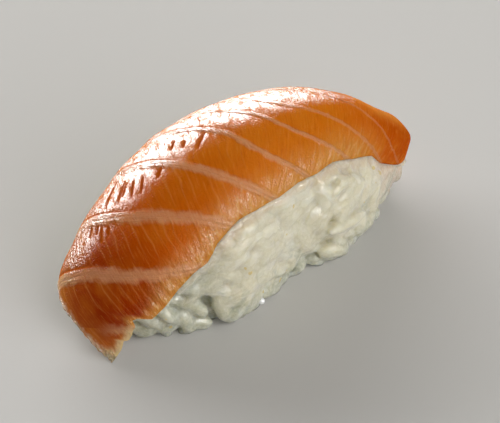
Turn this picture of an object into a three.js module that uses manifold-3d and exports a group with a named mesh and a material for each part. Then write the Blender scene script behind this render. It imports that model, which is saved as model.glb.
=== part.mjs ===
// Salmon nigiri: a hand-pressed block of sushi rice with one slice of raw salmon draped over it.
// Millimetres, +Z up, +X along the block. The origin is on the table, at the middle of the piece.
// The near side is -Y: the slice hangs lower over the -X end, where its cut corner touches the table.

import * as THREE from "three";
import { mergeVertices } from "three/addons/utils/BufferGeometryUtils.js";
import Module from "manifold-3d";

const wasm = await Module();
wasm.setup();

// ---------- Driving dimensions ----------

// The slice's middle line in side view, with how far its sides reach out and drop, and its thickness.
const SLICE_STATIONS = [
  { x: -37.1, z: 0.8, nearReach: 8.2, farReach: 7.8, drop: 2.0, thickness: 1.4 },
  { x: -33.0, z: 11.3, nearReach: 11.1, farReach: 10.4, drop: 5.5, thickness: 2.6 },
  { x: -23.2, z: 21.1, nearReach: 12.5, farReach: 12.3, drop: 7.5, thickness: 4.4 },
  { x: -9.2, z: 28.0, nearReach: 12.3, farReach: 12.3, drop: 8.4, thickness: 5.2 },
  { x: 8.4, z: 27.3, nearReach: 11.2, farReach: 11.1, drop: 8.2, thickness: 5.2 },
  { x: 22.8, z: 20.9, nearReach: 9.2, farReach: 9.4, drop: 7.1, thickness: 4.6 },
  { x: 34.3, z: 11.2, nearReach: 8.1, farReach: 7.6, drop: 6.3, thickness: 3.2 },
];
const SIDE_WRAP = THREE.MathUtils.degToRad(78); // how far round the sides of the slice bend
const EDGE_SHARE = 0.24; // the thickness left at the two long edges, as a share of the middle's
const NEAR_END_SLANT = 0.09; // how much shorter the far edge is at the -X end, as a share of the length
const FAR_END_BOW = 0.027; // how far the +X end bulges between its corners

// Where each white fat line crosses the slice, as a share of its length: at the near edge, then the
// near side, the middle, the far side and the far edge.
const FAT_LINES = [
  [0.2, 0.1, 0.045, 0.015, 0.0],
  [0.318, 0.24, 0.189, 0.117, 0.03],
  [0.436, 0.382, 0.314, 0.256, 0.19],
  [0.553, 0.486, 0.437, 0.384, 0.33],
  [0.646, 0.572, 0.532, 0.469, 0.42],
  [0.79, 0.66, 0.598, 0.548, 0.5],
  [0.91, 0.775, 0.65, 0.622, 0.58],
  [0.985, 0.903, 0.782, 0.7, 0.65],
];
const FLAKE_CROWN = 0.45; // height of each muscle flake between two fat lines

// The rice block under the slice: its half length and half width at each level above the table.
const BLOCK_LEVELS = [
  { z: 0, halfLength: 28.6, halfWidth: 11.6 },
  { z: 2.5, halfLength: 30.2, halfWidth: 12.6 },
  { z: 6.5, halfLength: 31.3, halfWidth: 12.9 },
  { z: 11, halfLength: 29.8, halfWidth: 12.4 },
  { z: 15, halfLength: 26.3, halfWidth: 11.7 },
  { z: 19, halfLength: 21.0, halfWidth: 10.9 },
  { z: 24, halfLength: 14.0, halfWidth: 8.5 },
];
const BLOCK_SQUARENESS = 2.5;
const CORE_PITCH = 3.4; // width of the core's flat sides
const CORE_REFERENCE_HEIGHT = 6.5; // level at which those sides are all alike
// Lumps that the hand left along the long sides: place along the block, side, how far out, half length.
const BLOCK_LUMPS = [
  { x: -20, side: -1, out: 0.6, reach: 5 },
  { x: -11, side: -1, out: 1.7, reach: 6 },
  { x: 2.5, side: -1, out: -1.1, reach: 5 },
  { x: 11, side: -1, out: 0.9, reach: 6 },
  { x: -16, side: 1, out: 0.8, reach: 6 },
  { x: -3, side: 1, out: -0.7, reach: 5 },
  { x: 8, side: 1, out: 0.9, reach: 6 },
];

// The grains that show on the block.
const GRAIN = { length: 7.0, width: 3.3, height: 2.8 };
const GRAIN_ROWS = [1.8, 5.2, 8.6, 12.0, 15.4, 18.4]; // heights of the rows of grains
const GRAIN_PITCH = 5.4; // spacing along a row
const GRAIN_BURIED = 0.64; // share of a grain's height that lies inside the block
const SEED = 20731;

const GAP = 0.3; // clearance between slice and rice
const ROOM_MARGIN = 0.03; // how far that clearance runs past the slice's edges, as a share of its size
const ROOM_HEIGHT = 9; // how far above the slice's skin nothing else may be
const CLEAR_SHARE = 0.6; // a grain is left out if less of it than this is clear of the slice
const CELLS_ALONG = 46; // faces of the slice along it
const CELLS_ACROSS = 18; // faces of the slice across it

// ---------- Small tools ----------

// Smooth value at share s along a list of evenly spaced stations (Catmull-Rom, straight past the ends).
function along(values, s) {
  const last = values.length - 1;
  const place = s * last;
  const i = THREE.MathUtils.clamp(Math.floor(place), 0, last - 1);
  const w = place - i;
  const before = i > 0 ? values[i - 1] : 2 * values[0] - values[1];
  const after = i + 2 <= last ? values[i + 2] : 2 * values[last] - values[last - 1];
  const [a, b] = [values[i], values[i + 1]];
  const slopeA = (b - before) / 2;
  const slopeB = (after - a) / 2;
  const cubic = 2 * a - 2 * b + slopeA + slopeB;
  const square = 3 * b - 3 * a - 2 * slopeA - slopeB;
  return ((cubic * w + square) * w + slopeA) * w + a;
}

const station = (key, s) => along(SLICE_STATIONS.map((row) => row[key]), s);

function randomDraws(seed) {
  let state = seed;
  return (low, high) => {
    state = (state * 16807) % 2147483647;
    return low + ((high - low) * state) / 2147483647;
  };
}

function solidOf(geometry) {
  const bare = geometry.index ? geometry.toNonIndexed() : geometry;
  const shape = new THREE.BufferGeometry().setAttribute("position", bare.getAttribute("position"));
  const merged = mergeVertices(shape, 1e-4);
  return new wasm.Manifold(
    new wasm.Mesh({
      numProp: 3,
      vertProperties: merged.getAttribute("position").array,
      triVerts: new Uint32Array(merged.index.array),
    }),
  );
}

function geometryOf(solid) {
  const { vertProperties, triVerts, numProp } = solid.getMesh();
  const geometry = new THREE.BufferGeometry();
  geometry.setAttribute("position", new THREE.BufferAttribute(new Float32Array(vertProperties), numProp));
  geometry.setIndex(new THREE.BufferAttribute(new Uint32Array(triVerts), 1));
  geometry.computeVertexNormals();
  return geometry;
}

// A closed shell between two sheets of points, each a function of (i, j) on the same grid.
function shellBetween(upper, lower, cellsAlong, cellsAcross) {
  const positions = [];
  const corner = (point) => positions.push(point.x, point.y, point.z);
  const quad = (a, b, c, d) => [a, b, c, a, c, d].forEach(corner);
  for (let i = 0; i < cellsAlong; i++) {
    for (let j = 0; j < cellsAcross; j++) {
      quad(upper(i, j), upper(i + 1, j), upper(i + 1, j + 1), upper(i, j + 1));
      quad(lower(i, j), lower(i, j + 1), lower(i + 1, j + 1), lower(i + 1, j));
    }
  }
  for (let i = 0; i < cellsAlong; i++) {
    quad(upper(i, 0), lower(i, 0), lower(i + 1, 0), upper(i + 1, 0));
    quad(upper(i + 1, cellsAcross), lower(i + 1, cellsAcross), lower(i, cellsAcross), upper(i, cellsAcross));
  }
  for (let j = 0; j < cellsAcross; j++) {
    quad(upper(0, j + 1), lower(0, j + 1), lower(0, j), upper(0, j));
    quad(upper(cellsAlong, j), lower(cellsAlong, j), lower(cellsAlong, j + 1), upper(cellsAlong, j + 1));
  }
  return new THREE.BufferGeometry().setAttribute("position", new THREE.Float32BufferAttribute(positions, 3));
}

// ---------- The salmon slice ----------

// Place along the slice's middle line for share u of its length, at v across it (-1 near edge, 1 far edge).
function lengthShare(u, v) {
  const start = (NEAR_END_SLANT * (v + 1)) / 2;
  const end = 1 + FAR_END_BOW * (1 - v * v);
  return start + (end - start) * u;
}

// How many fat lines lie before a point, with the share of the flake that the point is in.
function flakePlace(s, v) {
  const lines = FAT_LINES.map((crossings) => along(crossings, (v + 1) / 2));
  const next = lines.findIndex((line) => line > s);
  if (next === 0) return s - lines[0];
  if (next === -1) return lines.length - 1 + (s - lines.at(-1));
  return next - 1 + (s - lines[next - 1]) / (lines[next] - lines[next - 1]);
}

// The draped middle surface, without relief.
function smoothSkin(s, v) {
  const step = 1e-3;
  const spine = new THREE.Vector3(station("x", s), 0, station("z", s));
  const tangent = new THREE.Vector3(station("x", s + step), 0, station("z", s + step)).sub(spine).normalize();
  const inward = new THREE.Vector3(tangent.z, 0, -tangent.x);
  const reach = station(v < 0 ? "nearReach" : "farReach", s);
  const bend = v * SIDE_WRAP;
  const sideways = (Math.sin(bend) / Math.sin(SIDE_WRAP)) * reach;
  const drop = ((1 - Math.cos(bend)) / (1 - Math.cos(SIDE_WRAP))) * station("drop", s);
  return spine.addScaledVector(inward, drop).add(new THREE.Vector3(0, sideways, 0));
}

function skinNormal(s, v) {
  const step = 2e-3;
  const lengthwise = smoothSkin(s + step, v).sub(smoothSkin(s - step, v));
  const crosswise = smoothSkin(s, v + step).sub(smoothSkin(s, v - step));
  return lengthwise.cross(crosswise).normalize();
}

function crown(s, v) {
  const place = flakePlace(s, v);
  const share = THREE.MathUtils.clamp(place - Math.floor(place), 0, 1);
  return FLAKE_CROWN * (4 * share * (1 - share) - 0.5);
}

function thicknessAt(s, v) {
  const middle = station("thickness", s);
  return middle * (EDGE_SHARE + (1 - EDGE_SHARE) * (1 - Math.abs(v) ** 3));
}

// A point of the slice at a depth below its outer skin.
function slicePoint(s, v, depth) {
  return smoothSkin(s, v).addScaledVector(skinNormal(s, v), -depth);
}

// A sheet of points of the slice, grown past its four edges by a margin, at a depth that depends on place.
function sliceSheet(margin, depthAt) {
  return (i, j) => {
    const v = ((2 * j) / CELLS_ACROSS - 1) * (1 + margin);
    const s = lengthShare((i / CELLS_ALONG) * (1 + 2 * margin) - margin, v);
    return slicePoint(s, v, depthAt(s, v));
  };
}

function salmonGeometry() {
  const top = sliceSheet(0, (s, v) => -crown(s, v));
  const under = sliceSheet(0, thicknessAt);
  return shellBetween(top, under, CELLS_ALONG, CELLS_ACROSS);
}

// The room that the slice takes, with the gap below it and round its edges, to cut out of the rice.
function sliceRoom() {
  const above = sliceSheet(ROOM_MARGIN, () => -ROOM_HEIGHT);
  const below = sliceSheet(ROOM_MARGIN, (s, v) => thicknessAt(s, v) + GAP);
  return solidOf(shellBetween(above, below, CELLS_ALONG, CELLS_ACROSS));
}

// ---------- The rice ----------

// The block's half length or half width at height z, straight between the levels.
function blockSize(key, z) {
  const above = Math.max(1, BLOCK_LEVELS.findIndex((level) => level.z >= z));
  const [low, high] = [BLOCK_LEVELS[above - 1], BLOCK_LEVELS[above]];
  return THREE.MathUtils.mapLinear(z, low.z, high.z, low[key], high[key]);
}

// Point of the block's side at height z, in direction angle round it.
function blockWall(angle, z) {
  const round = (value) => Math.sign(value) * Math.abs(value) ** (2 / BLOCK_SQUARENESS);
  const x = blockSize("halfLength", z) * round(Math.cos(angle));
  const y = blockSize("halfWidth", z) * round(Math.sin(angle));
  const lumps = BLOCK_LUMPS.filter(({ side }) => side * y > 0).map(
    ({ x: middle, side, out, reach }) => side * out * Math.exp(-(((x - middle) / reach) ** 2)),
  );
  return new THREE.Vector3(x, lumps.reduce((sum, lump) => sum + lump, y), z);
}

// Directions round the block at even spacing along its side at height z, starting at a share of a step.
function evenAngles(z, pitch, firstShare) {
  const fineSteps = 1440;
  const marks = [{ angle: 0, length: 0 }];
  for (let k = 1; k <= fineSteps; k++) {
    const { angle: last, length } = marks.at(-1);
    const angle = (2 * Math.PI * k) / fineSteps;
    marks.push({ angle, length: length + blockWall(angle, z).distanceTo(blockWall(last, z)) });
  }
  const whole = marks.at(-1).length;
  const count = Math.round(whole / pitch);
  const wanted = Array.from({ length: count }, (_, k) => ((k + firstShare) * whole) / count);
  return wanted.map((length) => marks.find((mark) => mark.length >= length).angle);
}

function riceCore() {
  const angles = evenAngles(CORE_REFERENCE_HEIGHT, CORE_PITCH, 0);
  const sides = angles.length;
  const rings = BLOCK_LEVELS.length - 1;
  const wall = (i, j) => blockWall(angles[i % sides], BLOCK_LEVELS[j].z);
  const positions = [];
  const face = (...corners) => corners.forEach((point) => positions.push(point.x, point.y, point.z));
  const bottom = new THREE.Vector3(0, 0, BLOCK_LEVELS[0].z);
  const top = new THREE.Vector3(0, 0, BLOCK_LEVELS[rings].z);
  for (let i = 0; i < sides; i++) {
    for (let j = 0; j < rings; j++) {
      face(wall(i, j), wall(i + 1, j), wall(i + 1, j + 1));
      face(wall(i, j), wall(i + 1, j + 1), wall(i, j + 1));
    }
    face(bottom, wall(i + 1, 0), wall(i, 0));
    face(top, wall(i, rings), wall(i + 1, rings));
  }
  const geometry = new THREE.BufferGeometry();
  return solidOf(geometry.setAttribute("position", new THREE.Float32BufferAttribute(positions, 3)));
}

function riceGrains() {
  const draw = randomDraws(SEED);
  const blank = new THREE.SphereGeometry(0.5, 6, 4);
  const grains = [];
  GRAIN_ROWS.forEach((height, row) => {
    for (const angle of evenAngles(height, GRAIN_PITCH, (row % 2) / 2)) {
      const step = 0.02;
      const tangent = blockWall(angle + step, height).sub(blockWall(angle - step, height)).normalize();
      const outward = new THREE.Vector3(tangent.y, -tangent.x, 0);
      const upward = new THREE.Vector3(0, 0, 1);
      const size = draw(0.86, 1.14);
      const lift = GRAIN.height * (0.5 - GRAIN_BURIED) + draw(-0.45, 0.35);
      const place = blockWall(angle, height)
        .addScaledVector(outward, lift)
        .addScaledVector(upward, draw(-0.7, 0.7))
        .addScaledVector(tangent, draw(-0.7, 0.7));
      const turn = new THREE.Matrix4()
        .makeBasis(tangent, upward, outward)
        .multiply(new THREE.Matrix4().makeRotationZ(draw(-0.75, 0.75)))
        .multiply(new THREE.Matrix4().makeRotationY(draw(-0.22, 0.22)))
        .scale(new THREE.Vector3(GRAIN.length * size, GRAIN.width * draw(0.9, 1.12), GRAIN.height * size))
        .setPosition(place);
      grains.push(solidOf(blank.clone().applyMatrix4(turn)));
    }
  });
  return grains;
}

function riceGeometry() {
  const room = sliceRoom();
  const clear = riceGrains().filter((grain) => grain.subtract(room).volume() > CLEAR_SHARE * grain.volume());
  const table = solidOf(new THREE.BoxGeometry(120, 80, 40).translate(0, 0, -20));
  const heap = wasm.Manifold.union([riceCore(), ...clear]).subtract(table).subtract(room);
  const [largest] = heap.decompose().sort((a, b) => b.volume() - a.volume());
  return geometryOf(largest);
}

// ---------- The object ----------

const SALMON = new THREE.MeshStandardMaterial({ color: 0xd6742f, roughness: 0.35, metalness: 0 });
const RICE = new THREE.MeshStandardMaterial({ color: 0xdfdac2, roughness: 0.5, metalness: 0 });

function named(name, geometry, material) {
  const mesh = new THREE.Mesh(geometry, material);
  mesh.name = name;
  return mesh;
}

const nigiri = new THREE.Group();
nigiri.add(named("salmon_slice", salmonGeometry(), SALMON));
nigiri.add(named("rice_block", riceGeometry(), RICE));

export default nigiri;
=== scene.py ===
"""Salmon nigiri: hand-pressed sushi rice under one draped slice of raw salmon.

Sizes are millimetres until a piece is finished, when its mesh is scaled to metres. +X runs along the
block, the near side is -Y, and the table is at height 0.
"""

import math
import random
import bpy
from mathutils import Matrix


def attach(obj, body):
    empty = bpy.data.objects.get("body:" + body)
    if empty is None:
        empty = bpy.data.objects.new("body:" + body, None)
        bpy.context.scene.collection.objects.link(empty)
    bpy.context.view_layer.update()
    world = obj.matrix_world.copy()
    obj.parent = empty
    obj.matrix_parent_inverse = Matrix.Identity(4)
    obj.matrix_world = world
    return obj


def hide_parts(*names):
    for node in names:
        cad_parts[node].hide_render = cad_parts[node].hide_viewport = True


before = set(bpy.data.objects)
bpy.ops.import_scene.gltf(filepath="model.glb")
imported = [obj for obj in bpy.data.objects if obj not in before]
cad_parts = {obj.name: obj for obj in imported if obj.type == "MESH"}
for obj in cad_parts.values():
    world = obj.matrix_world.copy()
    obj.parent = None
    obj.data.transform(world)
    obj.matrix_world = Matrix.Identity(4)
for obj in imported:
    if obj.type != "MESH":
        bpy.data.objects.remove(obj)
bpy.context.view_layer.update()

from types import SimpleNamespace

import bmesh
import bpy
import numpy as np
from mathutils import Matrix, Vector, kdtree

MM = 0.001
SEED = 20731

# ---------- The slice: driving dimensions ----------

# The slice's middle line in side view, from the near end to the far end, with how far its sides reach
# out and drop, and its thickness.
SLICE_STATIONS = {
    "x": (-37.1, -33.0, -23.2, -9.2, 8.4, 22.8, 34.3),
    "z": (0.8, 11.3, 21.1, 28.0, 27.3, 20.9, 11.2),
    "near_reach": (8.2, 11.1, 12.5, 12.3, 11.2, 9.2, 8.1),
    "far_reach": (7.8, 10.4, 12.3, 12.3, 11.1, 9.4, 7.6),
    "drop": (2.0, 5.5, 7.5, 8.4, 8.2, 7.1, 6.3),
    "thickness": (1.4, 2.6, 4.4, 5.2, 5.2, 4.6, 3.2),
}
SIDE_WRAP = math.radians(78)  # how far the section turns down between the middle and an edge
EDGE_SHARE = 0.09  # thickness at the long edges, as a share of the middle's
THINNEST = 0.08  # thickness at the very border
NEAR_END_SLANT = 0.09  # this and the two bows are shares of the length
NEAR_END_BOW = 0.007
FAR_END_BOW = 0.027
FAR_CORNER = 2.2  # radius of the slice's two corners at the far end
UPPER_FOOT = 0.12  # lowest height of the upper skin, and of the under one
UNDER_FOOT = 0.02
FLAKE_CROWN = 0.3
FAT_RIDGE = 0.13
CREASE_DEPTH = 0.14
FIBRE_RELIEF = 0.03
WRINKLE_RELIEF = 0.1
UNDULATION = 0.13

# Each white fat line: where it crosses the slice at the near edge, near side, middle, far side and far
# edge, as shares of the length, its width, and how strongly it shows.
FAT_LINES = (
    {"crossings": (0.112, 0.083, 0.04, 0.01, -0.01), "width": 2.1, "strength": 0.58},
    {"crossings": (0.318, 0.24, 0.182, 0.112, 0.03), "width": 2.3, "strength": 1.0},
    {"crossings": (0.436, 0.382, 0.314, 0.256, 0.19), "width": 2.1, "strength": 1.0},
    {"crossings": (0.553, 0.486, 0.437, 0.384, 0.33), "width": 1.6, "strength": 1.0},
    {"crossings": (0.646, 0.572, 0.532, 0.469, 0.42), "width": 1.1, "strength": 1.0},
    {"crossings": (0.79, 0.66, 0.598, 0.548, 0.5), "width": 0.8, "strength": 0.85},
    {"crossings": (0.91, 0.775, 0.65, 0.622, 0.58), "width": 0.7, "strength": 0.6},
    {"crossings": (0.985, 0.903, 0.782, 0.7, 0.65), "width": 0.6, "strength": 0.4},
)
# The near edge as the knife and the hand left it: share of the length, and reach against the full width.
NEAR_EDGE = (
    (0.0, 1.03), (0.036, 1.0), (0.05, 0.95), (0.064, 0.89), (0.069, 0.99), (0.084, 0.97), (0.098, 0.92),
    (0.113, 0.9), (0.128, 0.77), (0.143, 0.82), (0.155, 1.03), (0.2, 1.04), (0.25, 1.0), (0.3, 1.0),
    (0.34, 1.04), (0.38, 0.96), (0.45, 0.95), (0.5, 1.0), (0.57, 1.04), (0.62, 1.0), (0.67, 1.01),
    (0.73, 0.965), (0.8, 1.0), (0.88, 0.975), (0.92, 1.05), (0.96, 1.02), (1.0, 0.98),
)  # fmt: skip
# Short open splits between fibres on the crown: share of the length and place across, at both ends.
SPLITS = (
    (0.3, 0.31, 0.356, 0.5), (0.32, 0.19, 0.37, 0.37), (0.336, 0.2, 0.366, 0.31), (0.345, 0.09, 0.379, 0.25),
    (0.362, 0.03, 0.392, 0.17), (0.236, 0.3, 0.258, 0.38), (0.244, 0.08, 0.272, 0.235),
    (0.25, 0.22, 0.268, 0.29), (0.262, 0.05, 0.28, 0.135), (0.402, 0.0, 0.425, 0.08),
    (0.455, 0.12, 0.478, 0.22), (0.47, 0.04, 0.487, 0.11), (0.484, -0.08, 0.52, 0.04),
)  # fmt: skip
SPLIT_WIDTH = 0.5
SPLIT_DEPTH = 0.34
CELLS_ALONG = 420
CELLS_ACROSS = 174
UNDERSIDE_SHARE = 0.1  # share of the cells kept on the underside, which lies on the rice

# ---------- The rice: driving dimensions ----------

# The block's height levels, with its half length and half width at each.
BLOCK_LEVELS = {
    "height": (0, 2.5, 6.5, 11, 15, 19, 24),
    "half_length": (28.6, 30.2, 31.3, 29.8, 26.3, 21.0, 14.0),
    "half_width": (11.6, 12.6, 13.1, 13.2, 12.9, 12.1, 8.9),
}
BLOCK_SQUARENESS = 2.5  # seen from above: 2 is an ellipse, more is squarer
# Lumps that the hand left along the long sides: place along, side, how far out, half length.
BLOCK_LUMPS = (
    (-20, -1, 0.6, 5), (-11, -1, 1.7, 6), (2.5, -1, -1.1, 5), (11, -1, 0.9, 6),
    (-16, 1, 0.8, 6), (-3, 1, -0.7, 5), (8, 1, 0.9, 6),
)  # fmt: skip
GRAIN_LENGTH = 5.5
GRAIN_WIDTH = 2.2
GRAIN_HEIGHT = 1.95
FIRST_ROW = 1.1
ROW_STEP = 1.8
GRAIN_ROWS = 13
GRAIN_PITCH = 4.1  # spacing along a row
NEAR_SPACING = 1.3  # no other grain's middle is closer than this to one of the listed grains
GAP_SPACING = 1.6  # nor closer than this to a gap
NEAR_SINK = 0.3
# Grains placed one by one on the near side: place along, height, length, width, slope in degrees, and how
# far
# the middle stands out of the wall, less NEAR_SINK.
NEAR_GRAINS = (
    (-27.0, 2.0, 4.6, 3.2, 17, 0.3), (-24.3, 2.6, 4.4, 2.8, 8, 0.3), (-21.5, 3.0, 5.8, 2.5, -66, 0.4),
    (-18.9, 1.5, 4.8, 2.4, -17, 0.5), (-17.9, 9.8, 5.6, 2.8, 26, 0.1), (-15.6, 4.3, 7.4, 2.9, -73, 0.5),
    (-12.6, 3.4, 7.6, 3.4, 52, 0.4), (-12.6, 6.6, 7.0, 3.4, 12, 0.3), (-9.6, 3.0, 6.4, 2.8, 40, 0.3),
    (-4.6, 1.4, 6.8, 2.6, -20, 0.4), (-13.0, 13.1, 4.8, 2.6, 19, 0.1), (-15.8, 13.0, 4.4, 2.4, 9, 0.1),
    (11.2, 8.2, 9.2, 2.2, -4, 1.15), (16.8, 3.6, 7.6, 3.2, -14, 0.6), (8.9, 2.9, 6.4, 2.6, -15, 0.9),
    (6.6, 1.2, 3.8, 2.4, -20, 0.3), (3.0, 7.6, 6.8, 3.4, -49, 0.4), (2.8, 2.3, 4.8, 2.6, -80, 0.2),
    (13.0, 15.0, 7.6, 2.2, -36, 0.4), (5.0, 11.4, 4.8, 2.6, 80, 0.2), (27.9, 1.4, 4.6, 2.4, 0, 0.7),
    (28.4, 5.0, 7.4, 3.4, -51, 0.3), (21.4, 1.6, 4.6, 2.6, -30, 0.4), (-0.3, 11.2, 5.2, 2.6, -11, 0.1),
    (-4.5, 10.3, 5.6, 2.8, -6, 0.2), (10.8, 11.5, 5.8, 2.6, -9, 0.2), (30.2, 9.2, 6.0, 2.8, 75, 1.0),
    (28.6, 11.6, 5.2, 2.8, 50, 1.0), (0.6, 4.6, 6.2, 3.0, 35, 0.3), (-6.8, 6.6, 6.6, 2.8, -24, 0.2),
    (29.4, 4.5, 5.4, 3.4, 88, 1.3), (29.0, 0.8, 3.4, 2.4, 0, 1.7),
)  # fmt: skip
# Gaps between grains on the near side: place along, height, half width, depth.
NEAR_GAPS = (
    (-18.2, 5.8, 1.5, 2.6),
    (7.5, 5.5, 0.8, 2.2),
    (-17.2, 1.6, 0.9, 1.6),
)
VOXEL = 0.27  # cell size of the rice's skin
HIDDEN_SHARE = 0.12  # share of the cells kept where the slice or the table hides the rice
CLEARANCE = 0.06  # how far the rice's skin stays below the slice
WHOLE_FROM = 0.5  # listed grains that stand out this far or further stay whole
MASHED_RELIEF = 0.16  # share of the relief left where the hand mashed the grains together
MASHING_ROUNDS = 60  # rounds of smoothing that make the surface without any grains
HOLLOW_ROUNDS = 40  # rounds that make the surface from which hollows are measured
SEAM_WIDTH = 0.7
CORE_DEPTH = 0.7  # how far the pressed core lies inside the wall that the grains make
CORE_GAP = 1.0  # how far it lies below the slice
CLOSING = 0.2  # half the width of the widest crack that starch fills
FOOT_SNAP = 0.25  # rice lower than this stands flat on the table
LIFTED_FROM = 1.8  # rice less than this far below the slice is lifted up to it
FLUSH_FROM = 2.4  # rice beside the slice's edge is drawn up to it from this far below
RIM_STEP = -0.3  # how far the wall stands out of the slice at the slice's edge
RIM_SLOPE = 0.8  # how far it stands out further for each millimetre below that edge
FLUSH_DEPTH = 0.1  # how far the rice stays below the slice's skin just beyond the slice's edge

DROPLET_PLACE = (-7.3, -13.6, 0.9)
DROPLET_RADIUS = 0.6
DROPLET_FOOT = 0.01

# ---------- Small tools ----------


def along(values, share):
    """Smooth value at a share of the way along evenly spaced stations, by a Catmull-Rom curve."""
    values = np.asarray(values, float)
    last = len(values) - 1
    first = np.clip(np.floor(share * last).astype(int), 0, last - 1)
    weight = share * last - first
    padded = np.concatenate([[2 * values[0] - values[1]], values, [2 * values[-1] - values[-2]]])
    before, here, there, after = (padded[first + k] for k in range(4))
    slope_here = (there - before) / 2
    slope_there = (after - here) / 2
    cubic = 2 * here - 2 * there + slope_here + slope_there
    square = 3 * there - 3 * here - 2 * slope_here - slope_there
    return ((cubic * weight + square) * weight + slope_here) * weight + here


def station(key, share):
    return along(SLICE_STATIONS[key], share)


def ease(low, high, value):
    """0 below low, 1 above high, smooth in between."""
    share = np.clip((value - low) / (high - low), 0, 1)
    return share * share * (3 - 2 * share)


def waves(seed, *coordinates, octaves=(1.0, 1.9, 3.3)):
    """Gentle unevenness between about -1 and 1: a sum of a few waves in seeded directions."""
    draw = random.Random(seed)
    total = np.zeros_like(coordinates[0], dtype=float)
    for octave in octaves:
        for _ in range(3):
            phase = draw.uniform(0, 2 * math.pi)
            for axis in coordinates:
                phase = phase + axis * octave * draw.uniform(-1, 1) * 2
            total += np.sin(phase) / (3 * octave**0.8)
    return total


def positions_of(mesh):
    flat = np.empty(len(mesh.vertices) * 3, np.float32)
    mesh.vertices.foreach_get("co", flat)
    return flat.reshape(-1, 3).astype(float)


def set_positions(mesh, points):
    mesh.vertices.foreach_set("co", np.asarray(points, np.float32).ravel())
    mesh.update()


def add_attributes(mesh, named_values):
    """A number, or three, at every vertex, for the finish to read by name."""
    for name, values in named_values.items():
        kind, field = ("FLOAT", "value") if values.ndim == 1 else ("FLOAT_VECTOR", "vector")
        attribute = mesh.attributes.new(name, kind, "POINT")
        attribute.data.foreach_set(field, values.astype(np.float32).ravel())


def mesh_from(bm, name):
    mesh = bpy.data.meshes.new(name)
    bm.to_mesh(mesh)
    bm.free()
    return mesh


def piece_from(mesh, name, finish, slot, *nodes):
    """The finished object: its mesh in metres, smooth, and riding on the part's only body."""
    mesh.transform(Matrix.Scale(MM, 4))
    mesh.shade_smooth()
    mesh.materials.append(finish)
    piece = bpy.data.objects.new(name, mesh)
    bpy.context.scene.collection.objects.link(piece)
    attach(piece, "root")
    if nodes:
        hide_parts(*nodes)
    return piece


def connected_parts(bm):
    """The mesh's vertices, as one list for each part that hangs together."""
    unseen = set(bm.verts)
    parts = []
    while unseen:
        part = [unseen.pop()]
        for vert in part:
            for edge in vert.link_edges:
                other = edge.other_vert(vert)
                if other in unseen:
                    unseen.remove(other)
                    part.append(other)
        parts.append(part)
    return parts


def thinned(mesh, hidden, kept_share):
    """The largest connected part of the mesh, with this share of its cells left where it is hidden."""
    holder = bpy.data.objects.new("holder", mesh)
    bpy.context.scene.collection.objects.link(holder)
    group = holder.vertex_groups.new(name="hidden")
    group.add(np.flatnonzero(hidden).tolist(), 1.0, "REPLACE")
    modifier = holder.modifiers.new("thin", "DECIMATE")
    modifier.vertex_group = "hidden"
    modifier.ratio = 1 - hidden.mean() * (1 - kept_share)
    made = bpy.data.meshes.new_from_object(holder.evaluated_get(bpy.context.evaluated_depsgraph_get()))
    bpy.data.objects.remove(holder)
    bm = bmesh.new()
    bm.from_mesh(made)
    specks = sorted(connected_parts(bm), key=len)[:-1]
    bmesh.ops.delete(bm, geom=[vert for part in specks for vert in part], context="VERTS")
    return mesh_from(bm, mesh.name)


# ---------- The salmon slice ----------


def length_share(u, v):
    """Place along the middle line for share u of the slice, at v across it (-1 near edge, 1 far edge)."""
    ragged = 0.003 * waves(21, v * 7) + 0.0024 * waves(22, v * 31)
    spike = -0.014 * np.exp(-(((v - 0.8) / 0.05) ** 2))
    bow = -NEAR_END_BOW * (1 - v * v)
    start = NEAR_END_SLANT * (v + 1) / 2 + bow + (ragged + spike) * (1 - ease(0, 0.07, u))
    corner = 0.012 * np.exp(-(((v + 0.5) / 0.2) ** 2))
    end = 1 + FAR_END_BOW * (1 - v * v) + corner * ease(0.9, 1, u)
    return start + (end - start) * u


def edge_reach(s, v):
    """How far the slice goes across at s, against its full width, on the side that v is on."""
    shares, reaches = zip(*NEAR_EDGE)
    near = np.interp(s, shares, reaches)
    far = 1 + 0.018 * np.sin(31 * s) + 0.012 * np.sin(67 * s + 1)
    return np.where(v < 0, near, far)


def corner_trim(end_mm, radius):
    """How far a corner of this radius pulls the long edge in, at a distance from the end."""
    inside = np.clip(1 - end_mm / radius, 0, 1)
    return radius * (1 - np.sqrt(1 - inside**2))


def skin(s, v):
    """The draped outer surface, without relief."""
    x, z = station("x", s), station("z", s)
    ahead_x, ahead_z = station("x", s + 1e-3) - x, station("z", s + 1e-3) - z
    step = np.hypot(ahead_x, ahead_z)
    reach = np.where(v < 0, station("near_reach", s), station("far_reach", s))
    sideways = np.sin(v * SIDE_WRAP) / math.sin(SIDE_WRAP) * reach
    drop = (1 - np.cos(v * SIDE_WRAP)) / (1 - math.cos(SIDE_WRAP)) * station("drop", s)
    return np.stack([x + ahead_z / step * drop, sideways, z - ahead_x / step * drop], -1)


def skin_frame(s, v):
    """The skin's outward direction, with how many millimetres one unit of s and of v are."""
    lengthwise = (skin(s + 2e-3, v) - skin(s - 2e-3, v)) / 4e-3
    crosswise = (skin(s, v + 2e-3) - skin(s, v - 2e-3)) / 4e-3
    outward = np.cross(lengthwise, crosswise)
    outward /= np.linalg.norm(outward, axis=-1, keepdims=True)
    return outward, np.linalg.norm(lengthwise, axis=-1), np.linalg.norm(crosswise, axis=-1)


def thickness_at(s, v):
    return station("thickness", s) * (EDGE_SHARE + (1 - EDGE_SHARE) * (1 - np.abs(v).clip(0, 1) ** 3))


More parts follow.
